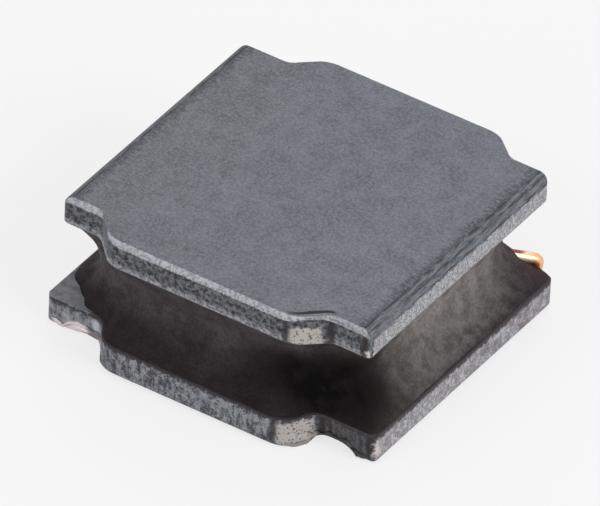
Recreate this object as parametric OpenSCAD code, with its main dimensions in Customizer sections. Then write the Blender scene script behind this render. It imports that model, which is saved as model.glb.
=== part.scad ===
// Square drum-core power inductor for surface mounting: a ferrite bobbin whose two flanges are
// notched beside each corner, a layered winding, a dished skin of magnetic resin between the
// flanges, and two tinned terminals under the base with the wire ends soldered in their grooves.
// Millimetres, +Z up, origin at the middle of the seating plane. The terminals lie along the
// -X and +X sides, and both wire ends come down through the notches of the +Y side.

/* [Overall] */
// Side of the square base flange
base_side = 4.9; // [4.8:0.05:5.2]
// Height from the seating plane to the top face
height = 2.0; // [1.9:0.05:2.4]
// Length of the upper flange along X
top_x = 4.62; // [4.5:0.01:4.7]
// Length of the upper flange along Y
top_y = 4.7; // [4.6:0.01:4.8]
// Thickness of each flange, the lower one with its terminals
flange_t = 0.44; // [0.42:0.01:0.5]

/* [Corner notches] */
// How far the base flange's corner tabs stand back from its front and rear edges
base_notch = 0.43; // [0.38:0.01:0.46]
// Half length of the base flange's front and rear edges
base_edge = 1.34; // [1.25:0.01:1.4]
// Length along X of the slope from that edge down to the tab
base_slope = 0.25; // [0.2:0.01:0.35]
// How far the upper flange's corner tabs stand back
top_notch = 0.33; // [0.3:0.01:0.41]
// How far its front left tab stands back, which the press left a little deeper
front_left_notch = 0.4; // [0.3:0.01:0.42]
// Half length of the upper flange's front and rear edges
top_edge = 1.33; // [1.25:0.01:1.38]
// The same half length at the rear left, where the tab is wider
rear_left_edge = 1.16; // [1.1:0.01:1.38]
// Length along X of the slope on the upper flange
top_slope = 0.38; // [0.34:0.01:0.44]
// Radius where a slope meets the long edge
brow_r = 0.36; // [0.2:0.01:0.4]
// Radius where a slope meets the tab
crease_r = 0.26; // [0.15:0.01:0.3]
// Radius of a tab's outer corner on the base flange
base_corner_r = 0.09; // [0.06:0.01:0.16]
// Radius of a tab's outer corner on the upper flange
top_corner_r = 0.11; // [0.08:0.01:0.18]

/* [Edges] */
// Run of the rounded top edge over the left and right sides
roll_run = 0.16; // [0.08:0.01:0.2]
// Drop of that rounded edge
roll_drop = 0.19; // [0.1:0.01:0.22]
// Run of the narrow bevel on the front, rear and notch edges
bevel_run = 0.06; // [0.02:0.01:0.08]
// Drop of that bevel
bevel_drop = 0.09; // [0.02:0.01:0.1]
// Run and drop of the upper flange's rounded lower edges
under_edge = 0.08; // [0.03:0.01:0.1]
// Run and drop of the base flange's lower edges
foot_bevel = 0.08; // [0.04:0.01:0.1]
// Broken edge on top of the base flange
break_edge = 0.025; // [0.01:0.005:0.04]

/* [Winding] */
// Diameter of the centre post
post_d = 2.1; // [1.9:0.05:2.2]
// Diameter of the enamelled wire
wire_d = 0.145; // [0.12:0.005:0.145]
// Distance from one layer of wire to the next
layer_pitch = 0.155; // [0.152:0.001:0.16]
// Turns in the innermost layer
inner_turns = 6; // [4:1:6]
// Turns in each of the three layers outside it
outer_turns = 5; // [3:1:5]
// Straight steps in one turn
turn_steps = 20; // [16:2:24]

/* [Magnetic resin] */
// Half width of the resin at its waist
waist = 2.0; // [1.9:0.01:2.08]
// Squareness of the waist: 2 is round, 6 is nearly square
waist_power = 6; // [3:0.5:7]
// Bare margin of ferrite between the resin and the flange edges
resin_margin = 0.01; // [0.005:0.005:0.08]
// Extra bare margin on the front left tab
bare_tab = 0.42; // [0:0.02:0.46]
// Half width of that bare patch, in degrees round the part
bare_spread = 6; // [3:0.5:12]

/* [Terminals] */
// Thickness of the tinned coating
coat = 0.02; // [0.015:0.005:0.03]
// Middle of each groove, from the centre line
groove_x = 1.86; // [1.82:0.01:1.9]
// Width of a groove at its mouth
groove_w = 0.7; // [0.6:0.02:0.74]
// Depth of a groove in the ferrite
groove_d = 0.18; // [0.17:0.01:0.2]
// Inner edge of each terminal, from the centre line
terminal_in = 1.35; // [1.1:0.05:1.4]
// Outer edge of each terminal, from the centre line
terminal_out = 2.35; // [2.3:0.01:2.35]
// Height that the coating climbs on the faces of the tabs
coat_climb = 0.09; // [0.09:0.01:0.16]
// How far the left solder reaches towards the front
solder_left_y = -2.03; // [-2.03:0.01:-0.5]
// How far the right solder reaches towards the front
solder_right_y = -1.3; // [-1.95:0.05:-0.5]

/* [Hidden] */
eps = 0.01;
arc = 5;                                   // steps in each rounded corner of an outline
wire_r = wire_d / 2;
clear = 0.01;                              // gap left round the wire where it lies beside the ferrite
upper_z = height - flange_t;               // underside of the upper flange
base_hx = base_side / 2;
base_hy = base_side / 2;
tab_y = base_hy - base_notch;              // face of a tab on the base flange

// ---------- outlines ----------
function cross2(a, b) = a[0] * b[1] - a[1] * b[0];
function unit(v) = v / norm(v);
function lerp(a, b, t) = a + (b - a) * t;

// One corner of a closed counter-clockwise outline, rounded: pairs of [point, outward normal]
function corner(before, at, after, r) =
    let (d1 = unit(at - before), d2 = unit(after - at),
         c = cross2(d1, d2), turn = atan2(c, d1 * d2), side = sign(c),
         start = at - d1 * r * tan(abs(turn) / 2),
         centre = start + side * r * [-d1[1], d1[0]],
         a0 = atan2(start[1] - centre[1], start[0] - centre[0]))
    [for (k = [0:arc]) let (a = a0 + turn * k / arc, u = [cos(a), sin(a)]) [centre + r * u, side * u]];

function turned(v) = [for (i = [len(v) - 1:-1:0]) v[i]];

// The notched square: each long edge steps back over a slope to a tab beside each corner. The
// corners are rear right, rear left, front left and front right, each [notch, edge, slope]
function notched(hx, hy, corners, tip_r) =
    let (side = [[1, 1], [-1, 1], [-1, -1], [1, -1]], c = [tip_r, crease_r, brow_r],
         v = [for (i = [0:3]) let (k = corners[i],
                  q = [[hx, hy - k[0]], [k[1] + k[2], hy - k[0]], [k[1], hy]])
                  each [for (p = i % 2 == 0 ? q : turned(q)) [p[0] * side[i][0], p[1] * side[i][1]]]],
         r = [for (i = [0:3]) each i % 2 == 0 ? c : turned(c)], n = len(v))
    [for (i = [0:n - 1]) each corner(v[(i + n - 1) % n], v[i], v[(i + 1) % n], r[i])];

function base_outline() =
    notched(base_hx, base_hy, [for (i = [0:3]) [base_notch, base_edge, base_slope]], base_corner_r);
function top_outline() =
    notched(top_x / 2, top_y / 2,
            [[top_notch, top_edge, top_slope], [top_notch, rear_left_edge, top_slope],
             [front_left_notch, top_edge, top_slope], [top_notch, top_edge, top_slope]], top_corner_r);

// ---------- lofts ----------
// Middle of a ring: the sum of its points over their number
function middle(ring) = [for (p = ring) 1] * ring / len(ring);

// Closed solid through rings of points of equal count, the first ring lowest. Each end is a fan
// from its middle, from which every point of a notched outline can be seen
module loft(rings) {
    m = len(rings);
    n = len(rings[0]);
    polyhedron(
        points = concat([for (r = rings) each r], [middle(rings[0]), middle(rings[m - 1])]),
        faces = [for (i = [0:n - 1]) let (k = (i + 1) % n, e = (m - 1) * n)
                    each concat([[m * n, i, k], [m * n + 1, e + k, e + i]],
                                [for (j = [0:m - 2])
                                    each [[j * n + i, (j + 1) * n + i, (j + 1) * n + k],
                                          [j * n + i, (j + 1) * n + k, j * n + k]]])],
        convexity = 6);
}

// How much of a value belongs to the left and right sides and how much to the front and rear
function by_side(n, vx, vy) = vx * n[0] * n[0] + vy * n[1] * n[1];

// A ring stepped in by an edge treatment: phi runs from 0 on the wall to 90 on the face. The run
// is taken along X and Y separately, so that the inner border stays straight to the corner
function edge_ring(out, grow, rx, ry, dx, dy, z, phi, up) =
    [for (q = out) let (n = q[1], f = 1 - cos(phi), p = q[0] + n * grow - [rx * n[0], ry * n[1]] * f)
        [p[0], p[1], z - up * by_side(n, dx, dy) * (1 - sin(phi))]];

// The lower flange, grown outwards and downwards by the thickness of a coating
module base_flange(grow = 0) {
    out = base_outline();
    f = foot_bevel;
    difference() {
        loft(concat([for (phi = [90, 45, 0]) edge_ring(out, grow, f, f, f, f, coat - grow, phi, -1)],
                    [edge_ring(out, grow, 0, 0, 0, 0, flange_t - break_edge, 0, 1)],
                    [edge_ring(out, grow, break_edge, break_edge, 0, 0, flange_t, 90, 1)]));
        for (s = [-1, 1]) translate([s * groove_x, 0, 0]) groove(grow);
    }
}

// The space of one groove along Y: an arch on short straight sides, narrowed by a lining
module groove(lining = 0, low = -0.1) {
    w = groove_w / 2 - lining;
    d = groove_d - lining;
    m = 7;
    rotate([90, 0, 0]) linear_extrude(base_side + 1, center = true)
        polygon(concat([[-w, low], [w, low]],
                       [for (k = [m:-1:-m]) [w * k / m, coat + d * (1 - 0.8 * pow(abs(k / m), 3))]]));
}

// ---------- the ferrite core ----------
module drum_core() color([0.42, 0.43, 0.46]) {
    out = top_outline();
    u = under_edge;
    base_flange();
    translate([0, 0, flange_t]) cylinder(d = post_d, h = upper_z - flange_t, $fn = 96);
    loft(concat([for (phi = [90, 45, 0]) edge_ring(out, 0, u, u, u, u, upper_z, phi, -1)],
                [for (phi = [0:18:90])
                    edge_ring(out, 0, roll_run, bevel_run, roll_drop, bevel_drop, height, phi, 1)]));
}

// ---------- the winding: one wire from end to end ----------
// Heights of the first and last turns; the outer layers stay above the lead that passes under them
low_z = flange_t + wire_r + clear;
high_z = upper_z - wire_r - clear;
outer_low_z = low_z + wire_d + clear + 0.005;
inner_r = post_d / 2 + wire_r + 0.02;
// The lay runs clockwise seen from above, so each lead is the tangent towards its own notch
lead_x = 2.14;                             // where the leads turn down, either side of the middle
knee = [2.09, 0.26];                       // where, in X and Z, they lean back towards the grooves
foot_x = 1.89;                             // where they turn into the grooves
tail_x = 1.85;                             // where they end
lead_y = tab_y + coat + wire_r + 0.02;     // and how far out, just clear of the coated tab
outer_r = inner_r + 3 * layer_pitch;
far = norm([lead_x, lead_y]);
bearing = atan2(lead_y, lead_x);
start_a = 180 - bearing - acos(inner_r / far);
end_a = bearing + acos(outer_r / far);
lay_turns = inner_turns + 3 * outer_turns + (start_a - end_a + 360) / 360 - 1;
step_at = 0.3;                             // part of a turn in which the wire climbs to the next layer

// Layer number, and turns since that layer began, at a number of turns from the start
function layer_of(t) = t < inner_turns ? 0 : min(3, 1 + floor((t - inner_turns) / outer_turns));
function into_layer(t) = layer_of(t) == 0 ? t : t - inner_turns - (layer_of(t) - 1) * outer_turns;
function lay_r(t) = let (l = layer_of(t), u = into_layer(t))
    inner_r + layer_pitch * (l == 0 ? 0 : l - 1 + min(1, u / step_at));
function lay_z(t) = let (l = layer_of(t), u = into_layer(t))
    l == 0 ? lerp(low_z, high_z, u / inner_turns)
           : let (g = max(0, (u - step_at) / (outer_turns - step_at)))
             l % 2 == 1 ? lerp(high_z, outer_low_z, g) : lerp(outer_low_z, high_z, g);
function lay(t) = let (a = start_a - 360 * t, r = lay_r(t)) [r * cos(a), r * sin(a), lay_z(t)];

// A path through waypoints, each inner one turned into an arc of its own radius
function rounded_path(w, r, steps) = [for (i = [1:len(w) - 2]) each
    let (d1 = unit(w[i] - w[i - 1]), d2 = unit(w[i + 1] - w[i]), turn = acos(d1 * d2),
         t = r[i - 1] * tan(turn / 2), a = w[i] - d1 * t,
         n = unit(d2 - d1 * (d1 * d2)), c = a + n * r[i - 1])
    [for (k = [0:steps]) let (g = turn * k / steps) c - n * r[i - 1] * cos(g) + d1 * r[i - 1] * sin(g)]];

// The inner lead lies flat under the outer layers; the outer one slopes down to its notch
wire_z = coat + groove_d - coat - wire_r - clear;   // height of the wire in its groove
function lead(side, from, z) = [
    from, [side * lead_x, lead_y, z], [side * knee[0], lead_y, knee[1]], [side * foot_x, lead_y, wire_z],
    [side * tail_x, lead_y - 0.6, wire_z], [side * tail_x, -0.7, wire_z]];
start_lead = lead(-1, lay(0), low_z);
end_lead = lead(1, lay(lay_turns), low_z - 0.045);
bends = [0.08, 0.12, 0.09, 0.3];
start_pts = turned(concat(rounded_path(start_lead, bends, 5), [start_lead[5]]));
end_pts = concat(rounded_path(end_lead, bends, 5), [end_lead[5]]);
lay_pts = [for (k = [0:floor(lay_turns * turn_steps)]) lay(k / turn_steps)];
tail_gap = lay_turns * turn_steps - floor(lay_turns * turn_steps);
wire_pts = concat(start_pts, lay_pts, tail_gap > 0.3 ? [end_lead[0]] : [], end_pts);
count = len(wire_pts);

// Frames that turn no more than the path does: each is the one before, reflected twice
tangents = [for (i = [0:count - 1]) unit(wire_pts[min(i + 1, count - 1)] - wire_pts[max(i - 1, 0)])];
function flip(v, m) = norm(m) < 1e-9 ? v : v - m * (2 * (v * m) / (m * m));
function carry(n, i) =
    let (m = wire_pts[i + 1] - wire_pts[i], n1 = flip(n, m), t1 = flip(tangents[i], m))
    flip(n1, tangents[i + 1] - t1);
normals = [for (i = 0, n = [1, 0, 0]; i < count; i = i + 1, n = i < count ? carry(n, i - 1) : n) n];

wire_sides = 6;
function wire_ring(i) = let (n = unit(normals[i]), b = cross(tangents[i], n))
    [for (k = [0:wire_sides - 1]) let (a = 360 * k / wire_sides)
        wire_pts[i] + wire_r * (n * cos(a) + b * sin(a))];

// A stretch of the wire between two of its rings, so that other pieces can be cut by the same facets
module wire(from, to) loft([for (i = [from:to]) wire_ring(i)]);

module winding() color([0.72, 0.36, 0.2]) wire(0, count - 1);

// ---------- the magnetic resin ----------
// Half-width of the waist along a bearing: a superellipse
function waist_at(a) =
    waist / pow(pow(abs(cos(a)), waist_power) + pow(abs(sin(a)), waist_power), 1 / waist_power);
function inset_to(p, by) = p * (1 - by / norm(p));
front_left = atan2(-tab_y, -base_hx);
function bare_at(a) = bare_tab * exp(-pow((a - front_left) / bare_spread, 2));

// The points of an outline, with more of them on each stretch that is long on the base flange
resin_step = 0.35;
function filled(out, low) = [for (i = [0:len(out) - 1])
    let (j = (i + 1) % len(out), n = ceil(norm(low[j][0] - low[i][0]) / resin_step))
    for (k = [0:n - 1]) lerp(out[i][0], out[j][0], k / n)];

// A ring of the resin at a height from 0 on the base flange to 1 under the upper flange
function resin_ring(low, up, t) = [for (i = [0:len(low) - 1])
    let (a = atan2(low[i][1], low[i][0]),
         p = inset_to(low[i], resin_margin + break_edge + bare_at(a)),
         q = inset_to(up[i], resin_margin + under_edge),
         w = waist_at(atan2(lerp(p, q, t)[1], lerp(p, q, t)[0])),
         mid = unit(lerp(p, q, t)) * w,
         dish = sin(180 * t),
         s = lerp(lerp(p, q, t), mid, dish))
    [s[0], s[1], lerp(flange_t, upper_z, t)]];

module magnetic_resin() color([0.16, 0.14, 0.14]) {
    low = filled(base_outline(), base_outline());
    up = filled(top_outline(), base_outline());
    levels = 10;
    first = len(start_pts) - 1;            // last ring of the first lead, on the winding
    last = count - len(end_pts);           // first ring of the second lead's first bend
    difference() {
        loft([for (k = [0:levels]) resin_ring(low, up, (1 - cos(180 * k / levels)) / 2)]);
        translate([0, 0, flange_t - eps])
            cylinder(r = outer_r + wire_r + 0.02, h = upper_z - flange_t + 2 * eps, $fn = 96);
        wire(first - 5, first + 2);
        wire(last - 2, last + 5);
    }
}

// ---------- terminals and solder ----------
module terminal(side) color([0.78, 0.77, 0.75]) difference() {
    intersection() {
        base_flange(coat);
        union() {
            translate([side * (terminal_in + terminal_out) / 2, 0, coat_climb / 2 - 0.5])
                cube([terminal_out - terminal_in, base_side + 1, coat_climb + 1], center = true);
            translate([side * groove_x, 0, 0.15])
                cube([groove_w, 2 * tab_y - 0.02, 0.3], center = true);
        }
    }
    base_flange();
}

module terminal_left() terminal(-1);
module terminal_right() terminal(1);

// Solder fills the lined groove down to the seating plane, round the end of the wire
module solder(side, front_y, from, to) color([0.7, 0.7, 0.72]) difference() {
    intersection() {
        translate([side * groove_x, 0, 0]) groove(coat, 0);
        translate([side * groove_x, (front_y + tab_y - 0.1) / 2, 0.25])
            cube([1, tab_y - 0.1 - front_y, 0.5], center = true);
    }
    wire(from, to);
}

module solder_left() solder(-1, solder_left_y, 0, 8);
module solder_right() solder(1, solder_right_y, count - 9, count - 1);

drum_core();
winding();
magnetic_resin();
terminal_left();
terminal_right();
solder_left();
solder_right();
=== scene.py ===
# %% [markdown]
# # A shielded SMD inductor
# A square power inductor, 4.9 mm on a side and 2 mm high. A bobbin of sintered ferrite carries one coil
# of enamelled copper wire, and a black resin filled with magnetic powder closes the space between its
# two flanges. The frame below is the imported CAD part: +Z is up, the origin is the middle of the seating
# plane, -Y is the front, and the tinned terminals lie along the -X and +X sides.

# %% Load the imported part
import math

import bpy
import numpy as np
from mathutils import Matrix, Vector


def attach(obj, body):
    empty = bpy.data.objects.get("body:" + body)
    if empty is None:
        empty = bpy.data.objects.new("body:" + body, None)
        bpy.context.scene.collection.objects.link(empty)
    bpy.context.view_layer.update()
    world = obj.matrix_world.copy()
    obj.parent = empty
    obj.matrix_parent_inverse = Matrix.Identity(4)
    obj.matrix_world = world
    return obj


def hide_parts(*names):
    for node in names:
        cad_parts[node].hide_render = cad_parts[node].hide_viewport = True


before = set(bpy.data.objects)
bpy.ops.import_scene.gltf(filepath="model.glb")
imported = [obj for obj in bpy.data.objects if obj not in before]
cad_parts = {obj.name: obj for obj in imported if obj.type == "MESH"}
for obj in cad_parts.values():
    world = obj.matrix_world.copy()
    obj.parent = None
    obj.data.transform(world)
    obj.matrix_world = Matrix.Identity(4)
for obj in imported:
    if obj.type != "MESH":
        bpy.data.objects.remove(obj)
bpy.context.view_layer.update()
MM = 0.001

# %% [markdown]
# ## Camera
# A long lens from far away keeps the flanges nearly parallel, as in a catalogue picture of a part this
# small. The camera stands on a sphere round its aim, looks down at the part and is turned a little
# about its own axis. Its matrix is written from its three axes, which is plainer than three angles.

# %% Camera
scene = bpy.context.scene
AZIMUTH, ELEVATION, ROLL = (math.radians(a) for a in (31.884, 37.467, 2.778))
AIM_MM = Vector((0.0074, -0.0616, 0.9868))
DISTANCE_MM, LENS_MM, SENSOR_MM = 213.09, 1033.38, 36
NEAREST, FURTHEST = 0.01, 10  # what the camera sees, in metres from it


def camera_axes(azimuth, elevation, roll):
    """Right, up and back: back goes from the aim to the camera, and right and up turn about it by roll."""
    back = Vector((math.sin(azimuth) * math.cos(elevation), -math.cos(azimuth) * math.cos(elevation),
                   math.sin(elevation)))
    level = Vector((math.cos(azimuth), math.sin(azimuth), 0))
    right = level * math.cos(roll) + back.cross(level) * math.sin(roll)
    return right, back.cross(right), back


axes = camera_axes(AZIMUTH, ELEVATION, ROLL)
camera = bpy.data.objects.new("camera", bpy.data.cameras.new("camera"))
camera.data.lens, camera.data.sensor_width = LENS_MM, SENSOR_MM
camera.data.clip_start, camera.data.clip_end = NEAREST, FURTHEST
stand = (AIM_MM + axes[2] * DISTANCE_MM) * MM
camera.matrix_world = Matrix.Translation(stand) @ Matrix(axes).transposed().to_4x4()
scene.collection.objects.link(camera)
scene.camera = camera
print("camera at", [round(c, 4) for c in camera.matrix_world.translation])

# %% [markdown]
# ## Light and floor
# Matt grey ceramic needs soft light from all round and one broad lamp from the side, so that the two
# visible walls differ. A lamp's power is set from the brightness that it gives a white surface at the
# part: for a small lamp that is power / (pi x distance) squared. The camera sees the world as white,
# and so do reflections; only the light that falls on the part is weaker. The floor is a matt white sheet
# a hair below the part, which glows for the camera, keeps the part's shadow, and is clear from below.

# %% Lamps and world
scene.view_settings.view_transform = "Standard"
WORLD_LIGHT = 0.6
LAMP_DISTANCE = 0.16
LAMPS = {  # direction from the part, brightness on white, size in mm
    "lamp_right": ((0.86, -0.1, 0.5), 0.5, 90),
    "lamp_front": ((-0.3, -0.8, 0.52), 0.2, 90),
    "lamp_back": ((-0.35, 0.75, 0.56), 0.12, 90),
}


def node(tree, kind, inputs=None, **settings):
    """Adds a shader node. Its inputs are given by name or number, each as a value or a socket to link."""
    made = tree.nodes.new("ShaderNode" + kind)
    for key, value in settings.items():
        setattr(made, key, value)
    for key, value in (inputs or {}).items():
        if isinstance(value, bpy.types.NodeSocket):
            tree.links.new(value, made.inputs[key])
        else:
            made.inputs[key].default_value = value
    return made


def cleared(owner):
    """The empty node tree of a world or a material."""
    owner.use_nodes = True
    owner.node_tree.nodes.clear()
    return owner.node_tree


def maths(tree, operation, a, b=0.0, c=0.0, clamp=False):
    """One Math node as a function of its inputs."""
    return node(tree, "Math", {0: a, 1: b, 2: c}, operation=operation, use_clamp=clamp).outputs[0]


def seen_as_white(tree):
    """1 for camera, glossy and transmission rays, which see the background itself, and 0 for the rest."""
    rays = node(tree, "LightPath").outputs
    either = maths(tree, "MAXIMUM", rays["Is Camera Ray"], rays["Is Glossy Ray"])
    return maths(tree, "MAXIMUM", either, rays["Is Transmission Ray"])


scene.world = bpy.data.worlds.new("studio")
sky = cleared(scene.world)
strength = maths(sky, "MULTIPLY_ADD", seen_as_white(sky), 1 - WORLD_LIGHT, WORLD_LIGHT)
sky_colour = node(sky, "Background", {"Color": (1, 1, 1, 1), "Strength": strength})
node(sky, "OutputWorld", {0: sky_colour.outputs[0]})

for name, (direction, brightness, size) in LAMPS.items():
    lamp = bpy.data.objects.new(name, bpy.data.lights.new(name, "AREA"))
    lamp.data.size = size * MM
    lamp.data.energy = brightness * (math.pi * LAMP_DISTANCE) ** 2
    away = Vector(direction).normalized()
    turned = away.to_track_quat("Z", "Y").to_matrix().to_4x4()
    lamp.matrix_world = Matrix.Translation(away * LAMP_DISTANCE) @ turned
    scene.collection.objects.link(lamp)
print(len(LAMPS), "lamps")

# %% Floor
FLOOR_HALF, FLOOR_DROP, FLOOR_GLOW = 0.09, 2e-6, 0.72

square = [(x * FLOOR_HALF, y * FLOOR_HALF, -FLOOR_DROP) for x, y in ((-1, -1), (1, -1), (1, 1), (-1, 1))]
floor_mesh = bpy.data.meshes.new("floor")
floor_mesh.from_pydata(square, [], [(0, 1, 2, 3)])
floor = bpy.data.objects.new("floor", floor_mesh)
scene.collection.objects.link(floor)
paper = bpy.data.materials.new("white_paper")
sheet = cleared(paper)
plain = node(sheet, "BsdfDiffuse", {"Color": (0.8, 0.8, 0.8, 1)})
glow = node(sheet, "Emission", {"Color": (1, 1, 1, 1), "Strength": 1.0})
share = maths(sheet, "MULTIPLY", seen_as_white(sheet), FLOOR_GLOW)
lit = node(sheet, "MixShader", {0: share, 1: plain.outputs[0], 2: glow.outputs[0]})
below = node(sheet, "NewGeometry").outputs["Backfacing"]
clear = node(sheet, "BsdfTransparent")
one_way = node(sheet, "MixShader", {0: below, 1: lit.outputs[0], 2: clear.outputs[0]})
node(sheet, "OutputMaterial", {0: one_way.outputs[0]})
floor_mesh.materials.append(paper)
print("a white floor", 2 * FLOOR_HALF, "m wide")

# %% [markdown]
# ## From arrays to pieces
# Every piece below is worked out with numpy: a grid of points, rows by columns, whose neighbours are
# joined by four-sided faces. One helper numbers the faces, one measures whether a shell is turned
# inside out, and one puts the arrays into a mesh that sits at the origin and rides on the part's body.

# %% Helpers for grids and pieces
def grid_faces(rows, columns, close_rows=False):
    """Faces of a grid of points numbered row by row, whose rows are closed loops: each joins a point, the
    next one in its row, and the two beside them in the next row."""
    i, j = np.arange(rows if close_rows else rows - 1)[:, None], np.arange(columns)[None, :]
    k, m = (i + 1) % rows, (j + 1) % columns
    corners = (i * columns + j, i * columns + m, k * columns + m, k * columns + j)
    return np.stack(np.broadcast_arrays(*corners), axis=-1).reshape(-1, 4)


def tube(points, close_rows=False):
    """A grid whose rows are closed loops, with flat ends unless the rows close too."""
    rows, columns = points.shape[:2]
    faces = grid_faces(rows, columns, close_rows).tolist()
    if not close_rows:
        ring = np.arange(columns)
        faces += [ring[::-1].tolist(), (ring + (rows - 1) * columns).tolist()]
    return points.reshape(-1, 3), faces


def outward(points, faces):
    """The faces, turned round if the volume that they enclose comes out negative: a sixth of the sum of
    a . (b x c) over their triangles."""
    p = points[np.array([f for f in faces if len(f) == 4])]
    volume = np.einsum("ij,ij->", p[:, 0], np.cross(p[:, 1], p[:, 2]) + np.cross(p[:, 2], p[:, 3]))
    for cap in (points[f] for f in faces if len(f) != 4):
        volume += np.einsum("j,ij->", cap[0], np.cross(cap[1:-1], cap[2:]))
    return [f[::-1] for f in faces] if volume < 0 else faces


def joined(shells):
    """Closed shells as one, each facing outwards, with the face numbers moved along."""
    starts = np.cumsum([0] + [len(points) for points, _ in shells]).tolist()
    faces = [[n + start for n in f] for shell, start in zip(shells, starts) for f in outward(*shell)]
    return np.concatenate([points for points, _ in shells]), faces


def make_piece(name, shells, materials, replaced, sharp=50, values=None, kinds=0):
    """A mesh object in metres from shells in millimetres, with its attributes, finish and body."""
    points, faces = joined(shells)
    mesh = bpy.data.meshes.new(name)
    mesh.from_pydata(points * MM, [], faces)
    for material in materials:
        mesh.materials.append(material)
    mesh.polygons.foreach_set("material_index", np.broadcast_to(kinds, len(faces)).astype(np.int32))
    for key, array in (values or {}).items():
        mesh.attributes.new(key, "FLOAT", "POINT").data.foreach_set("value", array.astype(np.float32))
    mesh.polygons.foreach_set("use_smooth", np.ones(len(mesh.polygons), dtype=bool))
    mesh.set_sharp_from_angle(angle=math.radians(sharp))
    mesh.update()
    piece = bpy.data.objects.new(name, mesh)
    scene.collection.objects.link(piece)
    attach(piece, "root")
    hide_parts(*replaced)
    print(f"{name}: {len(mesh.vertices)} points, {len(mesh.polygons)} faces")


def waves(*coordinates, size, seed, count=14):
    """Smooth noise without a texture: a sum of `count` cosines of random direction and phase, each with
    a wavelength near `size`, brought to about -1 .. 1."""
    draw = np.random.default_rng(seed)
    turns = draw.normal(size=(count, len(coordinates)))
    steep = (2 * np.pi / size) * draw.uniform(0.6, 1.6, (count, 1))
    turns *= steep / np.linalg.norm(turns, axis=1, keepdims=True)
    phase = draw.uniform(0, 2 * np.pi, count)
    total = sum(np.cos(sum(k * c for k, c in zip(t, coordinates)) + f) for t, f in zip(turns, phase))
    return total / math.sqrt(count)


# %% [markdown]
# ## The ferrite core
# The bobbin is pressed from powder and fired, so it has no thin edges: every corner of its outline is
# an arc. Seen from above each flange is a square with a notch beside each corner, where a slope leads
# back to a narrow tab. The outline's half depth is one number for each x, so a flange can be built
# across X like a loaf of bread: a slice at each x is a closed loop in the YZ plane, and its depth,
# underside and top are functions of x. The grooves for the wire are slices whose underside is higher.

# %% Sizes of the core, in mm
SIDE, HEIGHT, FLANGE = 4.9, 2.0, 0.44
UPPER_UNDERSIDE = HEIGHT - FLANGE
GAP = UPPER_UNDERSIDE - FLANGE
TOP_X, TOP_Y = 4.62, 4.7
NOTCH = 0.43
COAT = 0.02
# the corners are rear right, rear left, front left and front right, each (notch, edge, slope)
BASE = dict(hx=SIDE / 2, hy=SIDE / 2, radii=(0.36, 0.26, 0.12), corners=[(NOTCH, 1.34, 0.25)] * 4)
UPPER = dict(hx=TOP_X / 2, hy=TOP_Y / 2, radii=(0.36, 0.26, 0.11),
             corners=[(0.33, 1.33, 0.38), (0.33, 1.16, 0.38), (0.4, 1.33, 0.38), (0.33, 1.33, 0.38)])
GROOVE_X, GROOVE_HALF, GROOVE_DEEP, ARCH = 1.86, 0.35, 0.18, 0.8
TAB_Y = SIDE / 2 - NOTCH
POST_R, POST_FILLET = 1.05, 0.04


# %% The notched outline
def rounded(way, radii, steps):
    """The arcs that round a path's inner corners, in a plane or in space. Each starts radius x tan(half
    the turn) before its corner, and at g it is start + radius (d sin g + n (1 - cos g)), with d the way in
    and n square to it on the side of the way out."""
    way, arcs = np.array(way, dtype=float), []
    for before, at, after, radius in zip(way, way[1:], way[2:], radii):
        d, out = ((q - p) / np.linalg.norm(q - p) for p, q in ((before, at), (at, after)))
        turn = math.acos(float(np.clip(d @ out, -1, 1)))
        n = out - d * (d @ out)
        n /= np.linalg.norm(n)
        g = np.linspace(0, turn, steps)[:, None]
        start = at - d * radius * math.tan(turn / 2)
        arcs.append(start + radius * (d * np.sin(g) + n * (1 - np.cos(g))))
    return np.vstack(arcs)


def quarter_outline(form, corner, steps=14):
    """From the middle of the rear edge over brow, slope, crease and tab to the right side, with x rising.
    Every corner is given as if it were the rear right one."""
    hx, hy = form["hx"], form["hy"]
    notch, edge, slope = form["corners"][corner]
    way = [(0, hy), (edge, hy), (edge + slope, hy - notch), (hx, hy - notch), (hx, 0)]
    return np.vstack([way[:1], rounded(way, form["radii"], steps)])


def half_depth(x, form, rear=True, h=1e-3):
    """Half depth of the outline at x on its rear or front half, and the part of its normal along Y, from
    the outline's slope between x - h and x + h."""
    depth, slope = np.zeros(x.shape), np.zeros(x.shape)
    for side, corner in ((1, 0 if rear else 3), (-1, 1 if rear else 2)):
        q = quarter_outline(form, corner)
        here = np.sign(x + 1e-12) == side
        at = lambda shift: np.interp(np.abs(x[here]) + shift, q[:, 0], q[:, 1])
        depth[here], slope[here] = at(0), (at(h) - at(-h)) / (2 * h)
    return depth, 1 / np.sqrt(1 + slope ** 2)


def stations(form, *extra, even=170, closest=1e-3):
    """The x of every slice: the outline's own points, even ones between them, and extra ones, on both
    sides, with none closer together than `closest`."""
    hx = form["hx"]
    x = [side * quarter_outline(form, k)[:, 0] for k, side in enumerate((1, -1, -1, 1))]
    x = np.hstack(x + [np.linspace(-hx, hx, even)] + [side * e for e in extra for side in (-1, 1)])
    x = np.sort(x[np.abs(x) <= hx])
    x = x[np.hstack([True, np.diff(x) > closest])]
    x[0], x[-1] = -hx, hx
    return x


print("half depth of the base at its tabs:", half_depth(np.array([2.0]), BASE)[0][0])


# %% [markdown]
# A slice is drawn as two halves, rear and front, each from the middle of the underside round to the
# middle of the top, because the press left the notches of the upper flange uneven. Both outer edges of
# a half are quarter ellipses, with a run along Y and a drop along Z. The sides at -X and +X are rounded
# too: there the slices themselves get thinner, by the same quarter ellipse. Two values go with each
# point, for the finish: how far inside the rim it is, and whether it is on the upper bevel, where a
# highlight is painted.

# %% Slices
def down_column(value, x):
    """A number, or one for each slice, as a column: one row for each x."""
    return np.broadcast_to(value, x.shape)[:, None]


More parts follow.
